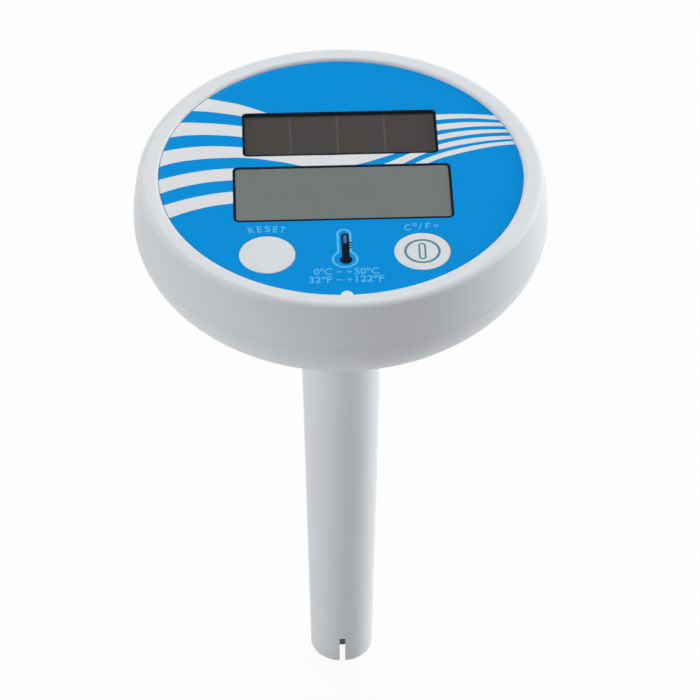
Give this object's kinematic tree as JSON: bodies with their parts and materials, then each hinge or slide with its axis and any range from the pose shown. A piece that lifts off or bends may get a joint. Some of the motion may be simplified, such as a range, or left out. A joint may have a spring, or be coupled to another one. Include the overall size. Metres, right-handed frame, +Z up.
{
  "type": "floating pool thermometer",
  "caption": "Round white float head with a blue recessed face, display and solar windows and press keys, on a tapered weighted stem with a slotted sensor end.",
  "frame": {"origin": "on the axis at the parting plane of the head, where it is widest and the water line lies", "axes": "+Z up along the stem's axis towards the face, -Y to the front where the keys are, +X to the right of someone reading the face"},
  "size_m": [0.1092, 0.1092, 0.1756],
  "materials": {
    "white_abs": "satin gloss moulded white",
    "key_white": "satin white",
    "blue_film": "printed film, satin",
    "clear_pane": "clear, polished",
    "black_rubber": "matte black",
    "grey_rubber": "matte dark grey",
    "lcd_glass": "grey display glass",
    "solar_cells": "dark brown-grey cells on glass",
    "green_board": "solder mask",
    "dark_plastic": "moulded black",
    "grey_foam": "closed-cell foam",
    "steel": "plain steel",
    "black_epoxy": "cast epoxy",
    "grey_lead": "grey cable jacket",
    "red_wire": "red wire jacket"
  },
  "bodies": {
    "float_body": {"top_housing": "white_abs", "lower_bowl": "white_abs", "stem_tube": "white_abs", "face_film": "blue_film", "lcd_pane": "clear_pane", "solar_pane": "clear_pane", "lcd_gasket": "black_rubber", "solar_gasket": "black_rubber", "housing_seal": "black_rubber", "stem_seal": "black_rubber", "end_plug": "grey_rubber", "lcd_panel": "lcd_glass", "solar_panel": "solar_cells", "main_board": "green_board", "zebra_strip": "dark_plastic", "lcd_foam_strip": "grey_foam", "reset_switch": "dark_plastic", "unit_switch": "dark_plastic", "cell_holder": "dark_plastic", "backup_cell": "steel", "ballast_weight": "steel", "sensor_cap": "steel", "board_screw_1": "steel", "board_screw_2": "steel", "board_screw_3": "steel", "board_screw_4": "steel", "housing_screw_1": "steel", "housing_screw_2": "steel", "housing_screw_3": "steel", "housing_screw_4": "steel", "stem_screw_1": "steel", "stem_screw_2": "steel", "stem_screw_3": "steel", "controller_chip": "black_epoxy", "thermistor_bead": "black_epoxy", "lead_connector": "key_white", "sensor_lead": "grey_lead", "solar_wire_left": "red_wire", "solar_wire_right": "red_wire"},
    "reset_button": {"reset_key": "key_white", "reset_plunger": "steel"},
    "unit_button": {"unit_key": "key_white", "unit_plunger": "steel"}
  },
  "joints": [
    {"name": "reset_key_press", "type": "slide", "parent": "float_body", "child": "reset_button", "axis": [0, 0, -1], "range_m": [0, 0.0005], "stiffness_N_per_m": 1500, "springref_m": -0.0002},
    {"name": "unit_key_press", "type": "slide", "parent": "float_body", "child": "unit_button", "axis": [0, 0, -1], "range_m": [0, 0.0005], "stiffness_N_per_m": 1500, "springref_m": -0.0002}
  ]
}
